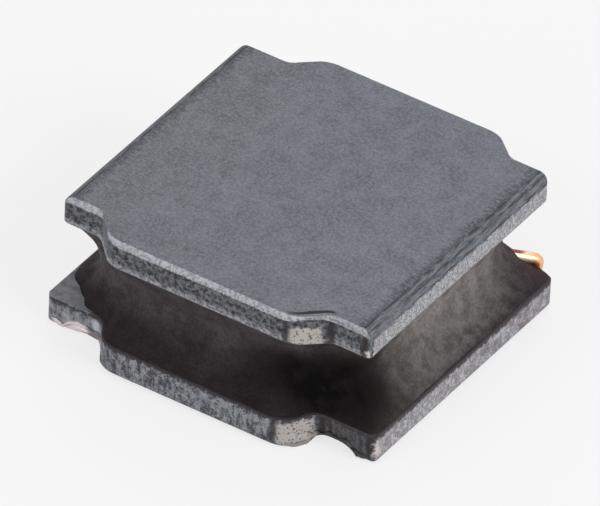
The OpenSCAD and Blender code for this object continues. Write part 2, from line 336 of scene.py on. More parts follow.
def slices(x, form, low, high, low_edge, high_edge, across=16, rise=7, arc=8):
    """Closed loops in the YZ plane at each x. low and high are the heights of the underside and the top,
    and each edge is its (run, drop) on a long side. All of them may be arrays along x."""
    t = np.linspace(0, 1, across)[None, :]
    a = np.linspace(0, np.pi / 2, arc)[None, :]
    s = np.linspace(0, 1, rise)[None, 1:-1]
    bottom, top = down_column(low, x), down_column(high, x)
    halves = []
    for rear in (True, False):
        depth, ny = (down_column(v, x) for v in half_depth(x, form, rear))
        (lr, ld), (hr, hd) = ((down_column(v, x) * ny ** 2 for v in edge) for edge in (low_edge, high_edge))
        wall_low, wall_high = bottom + ld, top - hd
        y = [t[:, :-1] * (depth - lr), depth - lr * (1 - np.sin(a)), depth + 0 * s,
             depth - hr * (1 - np.cos(a)), (1 - t[:, 1:]) * (depth - hr)]
        z = [bottom + 0 * t[:, :-1], bottom + ld * (1 - np.cos(a)), wall_low + s * (wall_high - wall_low),
             wall_high + hd * np.sin(a), top + 0 * t[:, 1:]]
        on_bevel = [0 * v for v in y]
        on_bevel[3] = on_bevel[3] + np.sqrt(np.clip(np.sin(2 * a), 0, 1))
        y, z, on_bevel = (np.hstack(v) for v in (y, z, on_bevel))
        halves.append((y if rear else -y, z, (depth - y) * ny, on_bevel))
    y, z, rim, on_bevel = (np.hstack([r, f[:, -2:0:-1]]) for r, f in zip(*halves))
    return np.stack([np.broadcast_to(x[:, None], y.shape), y, z], axis=-1), rim, on_bevel


# %% Flanges and post
ROLL_RUN, ROLL_DROP, BEVEL_RUN, BEVEL_DROP = 0.16, 0.19, 0.06, 0.09
UNDER, FOOT, BREAK = 0.08, 0.08, 0.025  # roundings: under the top, under the base, and on its upper rim
CRISP = 0.002  # the run of an edge that stays nearly sharp, as at a groove
sweep = 1 - np.sin(np.linspace(0, np.pi / 2, 12))


def near_sides(x, form, run):
    """How far a rounding of the left and right sides has dropped, as a share of its whole drop: on a
    quarter ellipse it is 1 - sqrt(1 - u^2), with u the way along its run."""
    return 1 - np.sqrt(1 - np.clip((np.abs(x) - (form["hx"] - run)) / run, 0, 1) ** 2)


def upper_flange():
    """The upper flange: its left and right edges roll over widely, the rest has a narrow bevel, and its
    lower edges are rounded all round."""
    x = stations(UPPER, UPPER["hx"] - ROLL_RUN * sweep)
    low = UPPER_UNDERSIDE + UNDER * near_sides(x, UPPER, UNDER)
    high = HEIGHT - ROLL_DROP * near_sides(x, UPPER, ROLL_RUN)
    return slices(x, UPPER, low, high, (UNDER, UNDER), (BEVEL_RUN, BEVEL_DROP))


def groove_profile(lining=0.0, steps=12):
    """x and z across one groove: an arch 1 - 0.8 |k|^3 on short straight sides, narrowed by a lining."""
    k = np.linspace(-1, 1, 2 * steps + 1)
    arch = (GROOVE_DEEP - lining) * (1 - ARCH * np.abs(k) ** 3)
    return GROOVE_X + k * (GROOVE_HALF - lining), COAT + arch


def base_flange():
    """The base flange: chamfered feet, and two grooves whose slices have their underside on the arch."""
    gx, gz = groove_profile()
    beside = np.array([GROOVE_X - GROOVE_HALF - CRISP, GROOVE_X + GROOVE_HALF + CRISP])
    x = stations(BASE, BASE["hx"] - FOOT * sweep, gx, beside)
    inside = np.abs(np.abs(x) - GROOVE_X) <= GROOVE_HALF + 1e-9
    low = np.where(inside, np.interp(np.abs(x), gx, gz), COAT + FOOT * near_sides(x, BASE, FOOT))
    edge = np.where(inside, CRISP, FOOT)
    high = FLANGE - BREAK * near_sides(x, BASE, BREAK)
    return slices(x, BASE, low, high, (edge, edge), (BREAK, BREAK))


def round_post(around=128, rise=25):
    """The post between the flanges: a cylinder with a small fillet at each end."""
    a = np.linspace(0, 2 * np.pi, around, endpoint=False)[None, :]
    t = np.linspace(0, 1, rise)[:, None]
    r = POST_R + POST_FILLET * np.clip(1 - np.minimum(t, 1 - t) * GAP / POST_FILLET, 0, 1) ** 2
    return np.stack(np.broadcast_arrays(r * np.cos(a), r * np.sin(a), FLANGE + GAP * t), axis=-1)


upper, upper_rim, upper_on_bevel = upper_flange()
core = [tube(grid) for grid in (upper, base_flange()[0], round_post())]
print("slices in the upper flange:", upper.shape[0], "points in each:", upper.shape[1])

# %% [markdown]
# ## Ferrite
# Sintered ferrite is a matt blue-grey ceramic. Its pressed faces are smooth and softly mottled, while
# the walls, which rubbed along the die, are granular: bright grains between dark pits. A highlight is
# painted along the narrow bevels, and dark strokes run along the rolled edges. All of this is drawn by
# noise in millimetres on Object coordinates, and the direction of the surface chooses between the
# faces. Noise shifts every border between two finishes, because none is ruled. So many nodes are
# easier to read as words, and one class holds the words for a material.

# %% Short words for finishes
def tint(colour):
    """What a shader takes for a colour. Whole numbers, 0 to 255 as on a screen, become linear values by
    ((c + 0.055) / 1.055) ^ 2.4. Fractions are linear already."""
    if isinstance(colour, bpy.types.NodeSocket):
        return colour
    if isinstance(colour[0], int):
        colour = [c / 12.92 if c <= 0.04045 else ((c + 0.055) / 1.055) ** 2.4 for c in np.divide(colour, 255)]
    return *colour, 1


class Finish:
    """A material with one Principled shader, whose plain numbers sit on its own sockets. Its methods are
    short words for shader nodes, and x, y, z and place are on the piece itself, in millimetres."""

    def __init__(self, name, roughness, metallic=0.0, specular=0.5, coat=0.0):
        self.material = bpy.data.materials.new(name)
        self.tree = cleared(self.material)
        self.node = lambda *inputs, **settings: node(self.tree, *inputs, **settings)
        self.maths = lambda *inputs, **settings: maths(self.tree, *inputs, **settings)
        shader = self.node("BsdfPrincipled", {"Roughness": roughness, "Metallic": metallic, "IOR": 1.5,
                                              "Specular IOR Level": specular, "Coat Weight": coat})
        self.node("OutputMaterial", {0: shader.outputs[0]})
        self.shader = shader.inputs
        metres = self.node("TexCoord").outputs["Object"]
        self.place = self.node("VectorMath", {0: metres, "Scale": 1 / MM}, operation="SCALE").outputs[0]
        self.x, self.y, self.z = self.node("SeparateXYZ", {0: self.place}).outputs
        self.normal = self.node("NewGeometry").outputs["Normal"]

    def vector(self, operation, a, b=(0, 0, 0)):
        """The outputs of a Vector Math node."""
        return self.node("VectorMath", {0: a, 1: b}, operation=operation).outputs

    def plus(self, value, share, other):
        """value + share x other."""
        return self.maths("MULTIPLY_ADD", other, share, value)

    def times(self, first, *others):
        """The product of several shares."""
        for other in others:
            first = self.maths("MULTIPLY", first, other)
        return first

    def noise(self, size, detail=2.0, stretch=None, bend=0.0):
        """Noise from about 0.25 to 0.75 with marks about `size` mm across, drawn out by a stretch per axis
        and bent by a share of their size."""
        place = self.place
        if stretch:
            place = self.node("Mapping", {"Vector": place, "Scale": [1 / s for s in stretch]}).outputs[0]
        return self.node("TexNoise", {"Vector": place, "Scale": 1 / size, "Detail": detail,
                                      "Distortion": bend}).outputs[0]

    def centred(self, value):
        """A noise moved down by its middle, so that it shifts a border both ways."""
        return self.maths("SUBTRACT", value, 0.5)

    def ramp(self, value, low, high, most=1.0, least=0.0):
        """Rises smoothly from least, where the value is low, to most, where it is high."""
        ends = {"Value": value, "From Min": low, "From Max": high, "To Min": least, "To Max": most}
        return self.node("MapRange", ends, interpolation_type="SMOOTHSTEP").outputs[0]

    def line(self, value, centre, half):
        """1 where the value is at the centre, fading to 0 at `half` to either side."""
        return self.ramp(self.maths("ABSOLUTE", self.maths("SUBTRACT", value, centre)), half, 0.0)

    def near(self, centre, radii, inner, outer, place=None):
        """1 within an ellipsoid round a centre, measured in its radii, fading to 0 from inner to outer."""
        away = self.vector("SUBTRACT", place or self.place, centre)[0]
        away = self.vector("MULTIPLY", away, [1 / r for r in radii])[0]
        return self.ramp(self.vector("LENGTH", away)["Value"], outer, inner)

    def mixed(self, share, a, b, blend="MIX"):
        """Two colours mixed by a share."""
        colours = {0: share, 6: tint(a), 7: tint(b)}
        return self.node("Mix", colours, data_type="RGBA", blend_type=blend).outputs[2]

    def over(self, colour, *layers):
        """A colour with layers laid over it in turn, each a pair of its share and its own colour."""
        for share, layer in layers:
            colour = self.mixed(share, colour, layer)
        return colour

    def done(self, colour, roughness, height, distance, strength):
        """Links what varies over the surface: colour, roughness, and a bump whose distance is in mm."""
        bump = self.node("Bump", {"Height": height, "Distance": distance * MM, "Strength": strength})
        for name, socket in (("Base Color", colour), ("Roughness", roughness), ("Normal", bump.outputs[0])):
            self.tree.links.new(socket, self.shader[name])
        return self.material


# %% [markdown]
# The two flanges share their grains, faces and walls and differ in their marks: the upper one has rolled
# edges and a painted highlight on its bevels, the base has stains of resin, with painted shade and a
# painted highlight along its rim. Both carry painted shade and a painted highlight at the front right
# notch. Each function lays its colours over those below.

# %% Grains, faces and walls of ferrite
def sintered(name, streaks):
    """The start of a ferrite finish: where the surface faces, and the grains that its marks share, the
    coarse ones drawn out upwards by streaks."""
    f = Finish(name, 0.62, specular=0.28)
    nx, ny, f.nz = (f.maths("ABSOLUTE", n) for n in f.node("SeparateXYZ", {0: f.normal}).outputs)
    f.faces_y, f.slant = f.maths("SUBTRACT", ny, nx), f.times(nx, ny)
    f.front, f.right = f.ramp(f.y, 0.1, -0.1), f.ramp(f.x, -0.1, 0.1)
    f.ragged = f.centred(f.noise(0.06, 3))
    f.frayed_x = f.plus(f.x, 0.12, f.ragged)
    f.upright = f.ramp(f.plus(f.nz, 0.25, f.ragged), 0.62, 0.4)
    f.fine, f.broad, f.crumbs, f.mottle = f.noise(0.026), f.noise(0.16, 3), f.noise(0.036, 3), f.noise(0.3, 5)
    coarse = f.noise(0.062, 3, (1, 1, streaks), 0.5 * (streaks > 1))
    f.speckle = f.plus(f.times(coarse, 0.7), 0.5, f.fine)
    return f


def pressed_face(f):
    """The pressed faces: slow clouds, a mottle of smudges, fine grain and a few dark spots."""
    warm_left = f.ramp(f.plus(f.x, 2.6, f.noise(0.9, 3)), -1.2, 0.9)
    smudge = f.times(f.ramp(f.noise(0.045, 3), 0.54, 0.68), f.ramp(f.broad, 0.42, 0.62, 0.7))
    return f.over(f.mixed(warm_left, (98, 98, 102), (102, 105, 115)),
                  (f.ramp(f.mottle, 0.38, 0.66, 0.52), (88, 89, 94)),
                  (f.ramp(f.noise(0.03, 3), 0.36, 0.68, 0.7), (128, 131, 140)),
                  (f.ramp(f.fine, 0.4, 0.24, 0.35), (76, 76, 82)),
                  (smudge, (82, 80, 83)))


def long_wall(f, pale, dark):
    """The front and rear walls: pale grains between dark pits, and brown stains."""
    return f.over(f.mixed(f.ramp(f.speckle, 0.44, 0.76), dark, pale),
                  (f.ramp(f.noise(0.12), 0.52, 0.75, 0.4), (76, 66, 62)))


def side_wall(f):
    """The left and right walls, which are finer, with broad stains. They are paler, partly as painted light
    that stands in for the stronger light on the right side.
    """
    return f.over(f.mixed(f.ramp(f.fine, 0.32, 0.68), (118, 117, 121), (178, 179, 184)),
                  (f.ramp(f.crumbs, 0.54, 0.68, 0.85), (88, 84, 89)),
                  (f.ramp(f.broad, 0.42, 0.66, 0.55), (130, 126, 129)),
                  (f.ramp(f.noise(0.055, 3), 0.5, 0.68, 0.6), (194, 196, 202)))


def front_right_notch(f, walls, end_x, brim, corner, highlight_rise):
    """The slope of this notch is pale up to end_x and brim, with painted shade in the creases beside it. The
    outer corner next to it has painted shade on the tab's side and a cream painted highlight on the other."""
    here = f.times(f.front, f.right)
    level = f.times(here, f.ramp(f.faces_y, 0.0, 0.2))
    slope = f.mixed(f.ramp(f.crumbs, 0.54, 0.64), (170, 165, 161), (92, 83, 81))
    slanted = f.times(here, f.ramp(f.slant, 0.26, 0.4), f.ramp(f.frayed_x, end_x, end_x - 0.06),
                      f.ramp(f.plus(f.z, 0.1, f.ragged), brim, brim - 0.035))
    corner_shade = f.near((corner[0] - 0.06, corner[1], corner[2] + 0.1), (0.08, 0.1, 0.26), 0.5, 1.0)
    corner_highlight = f.times(f.near(corner, (0.1, 0.14, highlight_rise), 0.4, 1.0),
                   f.ramp(f.plus(f.x, 0.25, f.ragged), corner[0] - 0.05, corner[0]))
    # painted shade in the two creases, and painted shade and a painted highlight at the corner
    return f.over(walls, (f.times(level, f.line(f.slant, 0.2, 0.19), 0.85), (36, 31, 32)),
                  (f.times(level, f.line(f.frayed_x, end_x + 0.06, 0.09), 0.85), (38, 32, 33)),
                  (slanted, slope), (f.times(corner_shade, 0.8), (36, 29, 30)),
                  (f.times(corner_highlight, 0.9), (204, 192, 186)))


def grained(f, colour, vertical):
    """The finished ferrite, whose walls are five times as bumpy as its faces."""
    rough = f.times(f.plus(0.5, 2.0, vertical), f.speckle)
    return f.done(colour, f.ramp(f.mottle, 0.3, 0.7, 0.7, 0.56), rough, 0.01, 0.7)


# %% Finish of the upper flange
# each dark line along a rolled edge: its place on the roll, its half width, how strong and how broken it
# is, and its colour
ROLL_LINES = ((0.08, 0.17, 0.95, 0.36, (38, 40, 48)), (0.42, 0.12, 0.8, 0.4, (42, 44, 52)),
              (0.76, 0.08, 0.9, 0.46, (46, 36, 42)))


def rolled_edges(f, face):
    """A face with strokes along its rolled edges, and s, which runs from 0 where the roll starts to 1 where
    the wall does: the arc sine of the depth into the roll, shifted a little by noise."""
    depth = f.maths("SUBTRACT", f.maths("ABSOLUTE", f.x), TOP_X / 2 - ROLL_RUN)
    sine = f.maths("MULTIPLY", depth, 1 / ROLL_RUN, clamp=True)
    s = f.times(f.maths("ARCSINE", sine), 2 / math.pi)
    s = f.plus(s, 0.24, f.centred(f.noise(0.035, 3, (1, 6, 1))))
    frayed = f.ramp(f.plus(depth, 0.55, f.noise(0.04, 3, (2.2, 1, 1))), 0.16, 0.27)
    roll = f.mixed(f.ramp(f.noise(0.02, 3, (1, 9, 1)), 0.4, 0.6), (112, 114, 122), (80, 82, 90))
    roll = f.over(roll, (f.ramp(f.crumbs, 0.5, 0.66, 0.5), (120, 122, 130)))
    for k, (centre, half, share, gaps, colour) in enumerate(ROLL_LINES):
        dashes = f.ramp(f.noise(0.05 + 0.01 * k, 3, (1, 4, 1)), gaps, gaps + 0.16, 1.0, 0.15)
        roll = f.over(roll, (f.times(f.line(s, centre, half), dashes, share), colour))
    return f.over(face, (f.times(frayed, f.ramp(f.fine, 0.3, 0.5), 0.75), (58, 60, 67)),
                  (f.ramp(depth, -0.01, 0.03), roll)), s


def upper_ferrite():
    """The bevel carries a crumbly painted highlight, a dark line runs inside it at the front right notch,
    and the rounded lower edge is a rind of bright grains."""
    f = sintered("ferrite_upper", 1.0)
    face, s = rolled_edges(f, pressed_face(f))
    sideways = f.times(f.ramp(f.plus(s, 0.3, f.ragged), 0.77, 0.88), f.ramp(f.faces_y, 0.1, -0.2))
    vertical = f.maths("MAXIMUM", f.times(f.upright, f.ramp(f.faces_y, -0.2, 0.1)), sideways)
    rind = f.times(f.ramp(f.plus(f.z, 0.2, f.ragged), 1.71, 1.63), f.ramp(f.crumbs, 0.58, 0.42, 0.65, 0.18))
    wall = f.over(long_wall(f, (112, 114, 119), (32, 30, 33)), (rind, (188, 189, 194)))
    walls = front_right_notch(f, f.mixed(sideways, wall, side_wall(f)), 1.66, 1.85, (2.27, -2.0, 1.63), 0.1)
    on_bevel, rim = (f.node("Attribute", attribute_name=name).outputs["Fac"] for name in ("on_bevel", "rim"))
    # a painted highlight along the bevels that face front and rear
    painted_highlight = f.times(f.ramp(f.plus(on_bevel, 1.1, f.ragged), 0.34, 0.66), f.ramp(f.faces_y, -0.1, 0.2),
                     f.ramp(f.crumbs, 0.6, 0.44, 0.95, 0.42), f.ramp(f.broad, 0.3, 0.6, 0.95, 0.75),
                     f.ramp(f.x, 1.3, 1.7, 0.78, 1.0))
    inside = f.times(f.front, f.line(rim, 0.095, 0.045), f.line(f.frayed_x, 1.5, 0.36),
                     f.ramp(f.nz, 0.6, 0.9))
    colour = f.over(f.mixed(vertical, face, walls), (painted_highlight, (186, 187, 194)),
                    (f.ramp(inside, 0.0, 0.55), (24, 22, 26)))
    return grained(f, colour, vertical)


# %% Finish of the base
def base_ferrite():
    """Resin creeps over the rim of the base, furthest on the right, apart from the bare front left tab,
    whose top is mottled, with a dark crack under its rim. Painted shade darkens the rim where the resin
    meets it, and a pink painted highlight runs along its right edge. The front right tab is darker."""
    f = sintered("ferrite_base", 2.0)
    tab_right, tab_left = (f.times(f.front, f.ramp(f.x, side * 1.56, side * 1.68)) for side in (1, -1))
    crack = f.times(tab_left, f.line(f.plus(f.z, 0.12, f.ragged), FLANGE - 0.04, 0.065))
    light_foot = f.ramp(f.plus(f.z, 0.3, f.ragged), 0.36, 0.14, 0.65, 0.15)
    gleam = f.near((-1.68, -2.02, 0.28), (0.1, 0.12, 0.14), 0.3, 1.0)
    wall = f.over(long_wall(f, (147, 150, 157), (62, 61, 66)),
                  (f.times(tab_right, 0.72), (30, 27, 28)),
                  (f.times(tab_left, f.ramp(f.broad, 0.4, 0.58), light_foot), (170, 172, 176)),
                  (f.times(crack, f.ramp(f.crumbs, 0.3, 0.46)), (46, 41, 43)),
                  (f.times(gleam, 0.8), (200, 206, 210)))
    rear_stain = f.times(f.right, f.ramp(f.y, -0.3, 0.8), f.ramp(f.broad, 0.46, 0.6, 0.7))
    side = f.over(side_wall(f), (f.ramp(f.noise(0.09, 3), 0.46, 0.66, 0.55), (112, 98, 102)),
                  (rear_stain, (112, 101, 105)))
    walls = f.mixed(f.ramp(f.faces_y, -0.1, -0.35), wall, side)
    walls = front_right_notch(f, walls, 1.6, FLANGE - 0.05, (2.42, -2.0, 0.22), 0.14)
    bare_top = f.ramp(f.x, -2.0, -2.2)
    face = f.over(pressed_face(f), (bare_top, (122, 122, 126)),
                  (f.times(bare_top, f.ramp(f.noise(0.11, 4), 0.46, 0.62, 0.6)), (84, 83, 86)))
    bare = f.near((-2.3, -1.85, FLANGE), (1, 1, 1), 0.45, 0.6)
    flank = f.ramp(f.x, 2.38, 2.44)
    reach = f.plus(f.plus(f.z, 0.16, f.ragged), 0.035, flank)
    # resin stain and painted shade on the rim where the resin meets it, with a pink painted highlight on the
    # right
    rim_stain_and_shade = f.times(f.ramp(reach, FLANGE - 0.05, FLANGE - 0.02), f.maths("SUBTRACT", 1.0, bare), 0.92)
    stain_shade_and_highlight = f.mixed(f.times(f.line(reach, FLANGE - 0.035, 0.03), flank), (46, 39, 42), (134, 113, 117))
    return grained(f, f.over(f.mixed(f.upright, face, walls), (rim_stain_and_shade, stain_shade_and_highlight)), f.upright)


# %% The core as one piece
def over_upper(first, rest):
    """One value for each point of the core: an array on the upper flange, and one number on the rest."""
    return np.hstack([first.ravel(), np.full(sum(len(points) for points, _ in core[1:]), rest)])


make_piece("ferrite_core", core, [upper_ferrite(), base_ferrite()], ["drum_core"],
           values={"rim": over_upper(upper_rim, 1.0), "on_bevel": over_upper(upper_on_bevel, 0.0)},
           kinds=np.repeat([0, 1, 1], [len(faces) for _, faces in core]))

# %% [markdown]
# ## The magnetic resin
# Liquid resin is dabbed round the winding and pulls itself in between the flanges before it cures, so
# each side is a hollow and its borders wander a little inside the flange edges. As a surface it is a
# closed ring: for each bearing round the part, a loop runs up the outer side, in along the upper
# flange, down the bore and out again. The outer radius is a blend of the two flange outlines, pulled
# towards a nearly square waist by the sine of the height.

# %% The resin's sizes and outline
WAIST, WAIST_POWER = 2.0, 6
MARGIN, RESIN_BORE = 0.035, 1.7
BARE_TAB, BARE_SPREAD = 0.36, (math.radians(4.6), math.radians(5.2))
# what the resin does by chance: height, size and seed of its waves
LOW_BORDER, TOP_BORDER, BARE_BORDER = (0.008, 0.5, 4), (0.012, 1.1, 5), (0.004, 0.3, 12)
SKIN = ((0.018, 0.55, 6), (0.006, 0.16, 7))
# lumps where it holds the lead: bearing and spread to each side in degrees, height, spread in z, reach
LUMPS = [(46.0, 3.0, 3.5, 0.64, 0.09, 0.08), (44.0, 3.5, 3.5, 0.47, 0.07, 0.11)]


def outline_radius(bearing, form, between=40):
    """Radius of a flange's outline at each bearing, measured on points laid closely along it."""
    q = [quarter_outline(form, k) * side for k, side in enumerate(((1, 1), (-1, 1), (-1, -1), (1, -1)))]
    ring = np.vstack([q[0][:0:-1], q[1], q[2][::-1], q[3][1:]])
    ring = ring[np.argsort(np.arctan2(ring[:, 1], ring[:, 0]))][:, None]
    p = ring + (np.roll(ring, -1, axis=0) - ring) * np.linspace(0, 1, between, endpoint=False)[:, None]
    p = p.reshape(-1, 2)
    a = np.arctan2(p[:, 1], p[:, 0])
    order = np.argsort(a)
    return np.interp(bearing, a[order], np.hypot(*p[order].T), period=2 * np.pi)


def resin_ring(bearings=560, rise=44, lid=5, down=9):
    """The grid of the ring. Outer radius = blend of the outlines x (1 - s) + waist x s, s = sin(pi t) at
    height t; the wandering borders and the uneven skin are sums of cosines."""
    a = np.linspace(-np.pi, np.pi, bearings, endpoint=False)[:, None]
    t = (1 - np.cos(np.linspace(0, np.pi, rise)))[None, :] / 2
    ca, sa = np.cos(a), np.sin(a)
    wander = lambda high, size, seed: high * waves(3 * ca, 3 * sa, size=size, seed=seed)
    low = outline_radius(a, BASE) - MARGIN - LOW_BORDER[0] - wander(*LOW_BORDER)
    up = outline_radius(a, UPPER) - MARGIN - UNDER - wander(*TOP_BORDER)
    tab = math.atan2(-TAB_Y, -SIDE / 2)
    bare = np.exp(-((a - tab) / np.where(a > tab, *BARE_SPREAD)) ** 2)
    low = low - (BARE_TAB + wander(*BARE_BORDER)) * bare
    waist = WAIST / (np.abs(ca) ** WAIST_POWER + np.abs(sa) ** WAIST_POWER) ** (1 / WAIST_POWER)
    straight, pull = low + (up - low) * t, np.sin(np.pi * t)
    r, z = straight + (waist - straight) * pull, FLANGE + GAP * t
    for bearing, before, after, height, spread, reach in LUMPS:
        off = np.degrees(a) - bearing
        r = r + reach * np.exp(-(off / np.where(off < 0, before, after)) ** 2 - ((z - height) / spread) ** 2)
    x, y, heights = r * ca, r * sa, z + 0 * r
    r = r + pull ** 0.7 * sum(high * waves(x, y, heights, size=size, seed=seed) for high, size, seed in SKIN)
    inwards = np.linspace(0, 1, lid + 2)[None, 1:-1]
    bore = np.linspace(1, 0, down)[None, :]
    top_r = r[:, -1:] + (RESIN_BORE - r[:, -1:]) * inwards
    low_r = RESIN_BORE + (r[:, :1] - RESIN_BORE) * inwards
    r = np.hstack([r, top_r, RESIN_BORE + 0 * a + 0 * bore, low_r])
    z = np.hstack([heights, UPPER_UNDERSIDE + 0 * top_r, FLANGE + GAP * bore + 0 * a, FLANGE + 0 * low_r])
    return np.stack([r * ca, r * sa, z], axis=-1)


# %% Resin finish and piece
def magnetic_resin():
    """Brown-black filled resin, with a painted shadow, nearly black, under the upper flange's front right
    corner. The right side is greyer and painted paler, partly as painted light from the lamp on that side,
    and it is darker again towards its lower border and its rear end, where it smears over the lead."""
    f = Finish("magnetic_resin", 0.6, specular=0.04)
    smear, speck, wander = f.noise(0.16, 4), f.noise(0.035, 3), f.centred(f.noise(0.7, 3))
    low = f.ramp(f.plus(f.z, 0.6, wander), 1.05, 0.55)
    # the right side is painted paler and greyer, partly painted light from the lamp on that side
    right = f.ramp(f.plus(f.x, 0.5, wander), 1.55, 1.95)
    flank = f.over(f.mixed(low, (128, 123, 121), (102, 98, 97)),
                   (f.ramp(f.plus(f.y, 0.8, wander), 0.7, 1.9), (62, 54, 57)))
    border = f.maths("MAXIMUM", f.maths("ABSOLUTE", f.x), f.maths("ABSOLUTE", f.y))
    border = f.ramp(f.plus(border, 0.3, f.centred(smear)), 2.2, 2.42, 0.7)
    border = f.times(border, f.ramp(f.z, 0.8, 0.6), f.ramp(f.y, -0.6, 0.9, 1.0, 0.45))
    shifted = f.vector("ADD", f.place, f.times(wander, 0.6))[0]
    # painted shadow under the upper flange's front right corner, nearly black at its deepest
    corner = f.near((2.1, -2.0, 0.95), (0.9, 1.4, 1.1), 0.35, 1.1, shifted)
    deepest_shadow = f.near((1.5, -1.95, 0.82), (1.3, 0.9, 0.55), 0.3, 1.15, shifted)
    colour = f.over(f.mixed(low, (78, 72, 74), (44, 39, 41)), (right, flank),
                    (f.ramp(f.z, 1.42, 1.55, 0.5), (74, 64, 52)), (border, (40, 34, 37)),
                    (f.times(corner, 0.94), (18, 15, 16)), (f.times(deepest_shadow, 0.97), (6, 5, 5)),
                    (f.ramp(smear, 0.4, 0.66, 0.35), (34, 29, 29)))
    mottle = f.mixed(f.ramp(speck, 0.36, 0.66), (0.84, 0.84, 0.84), (1.14, 1.13, 1.12))
    smeared = f.times(f.near((2.26, 1.9, 0.46), (0.4, 0.4, 0.2), 0.2, 1.0), f.ramp(smear, 0.4, 0.6))
    drip = f.near((2.14, 1.98, 0.47), (0.11, 0.2, 0.12), 0.4, 1.0, shifted)
    colour = f.over(f.mixed(1.0, colour, mottle, "MULTIPLY"), (f.times(smeared, 0.6), (74, 58, 62)),
                    (f.times(drip, 0.85), (58, 28, 30)))
    return f.done(colour, f.ramp(smear, 0.3, 0.7, 0.7, 0.5), f.plus(smear, 0.5, speck), 0.01, 0.3)


make_piece("resin_ring", [tube(resin_ring(), close_rows=True)], [magnetic_resin()], ["magnetic_resin"])

# %% [markdown]
# ## The winding
# One wire makes the whole coil: a layer on the post, three layers outside it, and two leads that leave
# at a tangent, bend down through the rear notches and run forward in the grooves. Its centre line is
# worked out as arrays of turns, and a ring of points is set square to it at each step. The ring's first
# axis is the direction away from the middle of the part with its share along the wire taken off, which
# never fails here because no stretch of the wire points straight outwards.

# %% The wire's sizes and its lay
WIRE_R, CLEAR, PITCH = 0.0725, 0.01, 0.155
INNER_TURNS, OUTER_TURNS, LAYERS, STEP = 6, 5, 3, 0.3
LOW_Z = FLANGE + WIRE_R + CLEAR
HIGH_Z = UPPER_UNDERSIDE - WIRE_R - CLEAR
OUTER_LOW_Z = LOW_Z + 2 * WIRE_R + CLEAR + 0.005  # above the left lead, which runs in below
INNER_R = POST_R + WIRE_R + 2 * CLEAR
OUTER_R = INNER_R + LAYERS * PITCH
LEAD_X, LEAD_Y = 2.14, TAB_Y + COAT + WIRE_R + 2 * CLEAR
FAR, BEARING = math.hypot(LEAD_X, LEAD_Y), math.atan2(LEAD_Y, LEAD_X)
START_A = math.pi - BEARING - math.acos(INNER_R / FAR)
END_A = BEARING + math.acos(OUTER_R / FAR)
TURNS = INNER_TURNS + LAYERS * OUTER_TURNS + (START_A - END_A) / (2 * math.pi)


def lay(t):
    """The centre line t turns after the start: the radius steps out by one pitch as each outer layer
    starts, and the height goes up and down between the flanges."""
    inner = t < INNER_TURNS
    layer = np.where(inner, 0, np.minimum(LAYERS, 1 + np.floor((t - INNER_TURNS) / OUTER_TURNS)))
    u = np.where(inner, t, t - INNER_TURNS - (layer - 1) * OUTER_TURNS)
    r = INNER_R + PITCH * np.where(inner, 0, layer - 1 + np.minimum(1, u / STEP))
    g = np.clip((u - STEP) / (OUTER_TURNS - STEP), 0, 1)
    risen = np.where(layer % 2 == 1, 1 - g, g)
    first, outer = LOW_Z + (HIGH_Z - LOW_Z) * u / INNER_TURNS, OUTER_LOW_Z + (HIGH_Z - OUTER_LOW_Z) * risen
    a = START_A - 2 * np.pi * t
    return np.stack([r * np.cos(a), r * np.sin(a), np.where(inner, first, outer)], axis=-1)


# %% Leads and the swept wire
KNEE_X, KNEE_Z = 2.09, 0.26
FOOT_X, TAIL_X, TAIL_SLANT, TAIL_END = 1.89, 1.85, 0.6, -0.7
WIRE_Z = GROOVE_DEEP - WIRE_R - CLEAR
BENDS = (0.08, 0.12, 0.09, 0.3)  # radii of a lead's bends, from the corner to the groove
RIGHT_DROP, RIGHT_VIA, RIGHT_BEND = 0.013, (1.72, 1.74, 0.675), 0.4  # the right lead sags as it leaves


def lead(side, start, z, via=(), radii=(), steps=10):
    """From the coil to the corner at height z, down into the groove and forward in it."""
    way = [start, *via, (side * LEAD_X, LEAD_Y, z), (side * KNEE_X, LEAD_Y, KNEE_Z),
           (side * FOOT_X, LEAD_Y, WIRE_Z), (side * TAIL_X, LEAD_Y - TAIL_SLANT, WIRE_Z),
           (side * TAIL_X, TAIL_END, WIRE_Z)]
    return np.vstack([rounded(way, (*radii, *BENDS), steps), way[-1:]])


def centre_line(spacing=0.035, per_turn=72):
    """Points at even steps along the whole wire, left lead, coil and right lead, and the wire's length."""
    coil = lay(np.arange(0, TURNS, 1 / per_turn))
    end = lay(np.array([TURNS]))[0]
    way = np.vstack([lead(-1, coil[0], LOW_Z)[::-1], coil,
                     lead(1, end, LOW_Z - RIGHT_DROP, [RIGHT_VIA], [RIGHT_BEND])])
    lengths = np.hstack([0, np.cumsum(np.linalg.norm(np.diff(way, axis=0), axis=1))])
    even = np.linspace(0, lengths[-1], int(lengths[-1] / spacing))
    return np.stack([np.interp(even, lengths, way[:, k]) for k in range(3)], axis=-1), lengths[-1]


def swept(way, radius, sides=14):
    """Rings round a path: each is radius x (n cos a + b sin a), with n the outward direction made square
    to the path and b square to both."""
    t = np.gradient(way, axis=0)
    t /= np.linalg.norm(t, axis=1, keepdims=True)
    n = way * (1, 1, 0)
    n -= t * np.sum(n * t, axis=1, keepdims=True)
    n /= np.linalg.norm(n, axis=1, keepdims=True)
    b = np.cross(t, n)
    a = np.linspace(0, 2 * np.pi, sides, endpoint=False)[None, :, None]
    return way[:, None] + radius * (n[:, None] * np.cos(a) + b[:, None] * np.sin(a))


